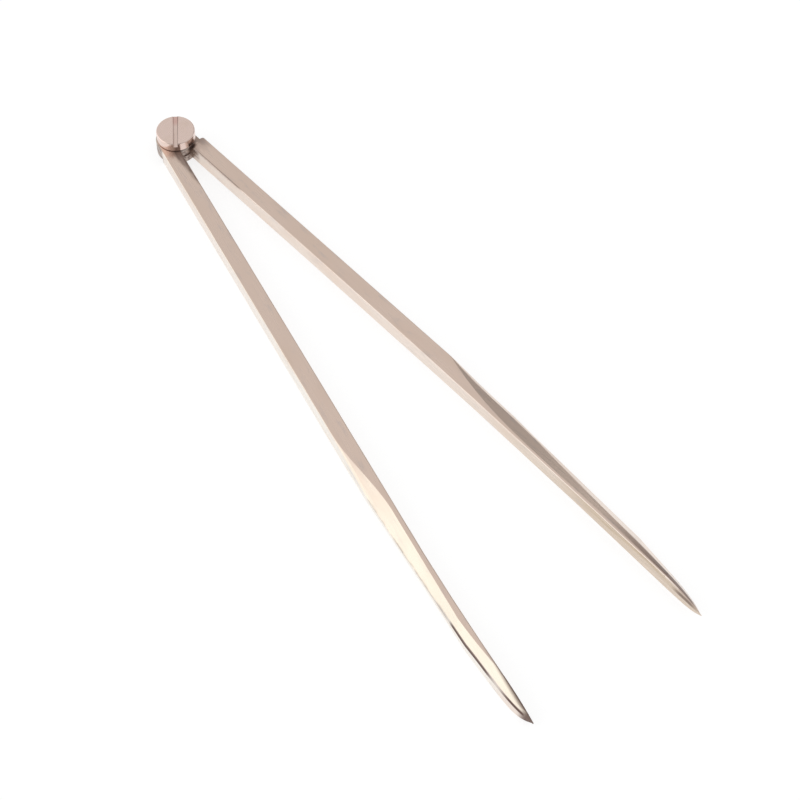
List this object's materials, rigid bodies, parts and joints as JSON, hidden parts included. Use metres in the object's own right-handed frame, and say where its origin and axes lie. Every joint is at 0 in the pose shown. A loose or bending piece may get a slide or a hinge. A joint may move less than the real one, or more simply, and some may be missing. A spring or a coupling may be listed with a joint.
{
  "type": "chart divider",
  "caption": "Chart divider: square-bar metal legs with tapered ground points on a half-lap friction hinge, held by a large slotted cheese-head screw.",
  "frame": {"origin": "where the hinge axis meets the plane that the legs lie on, at the flush end of the pivot screw", "axes": "+Z along the hinge axis, out of the screw's slotted head; -Y from the hinge towards the points, midway between the open legs; -X is the side of the leg with the upper lug"},
  "size_m": [0.0534, 0.2072, 0.0077],
  "materials": {
    "leg_metal": "satin brushed nickel silver, pale champagne",
    "screw_metal": "turned nickel silver, slightly pink",
    "washer_metal": "plain rolled bronze"
  },
  "bodies": {
    "lower_leg": {"right_leg": "leg_metal", "pivot_screw": "screw_metal", "lap_washer": "washer_metal"},
    "upper_leg": {"left_leg": "leg_metal"}
  },
  "joints": [
    {"name": "leg_hinge", "type": "hinge", "parent": "lower_leg", "child": "upper_leg", "pos_m": [0, 0, 0], "axis": [0, 0, -1], "range_deg": [-14.1, 165.3]}
  ]
}
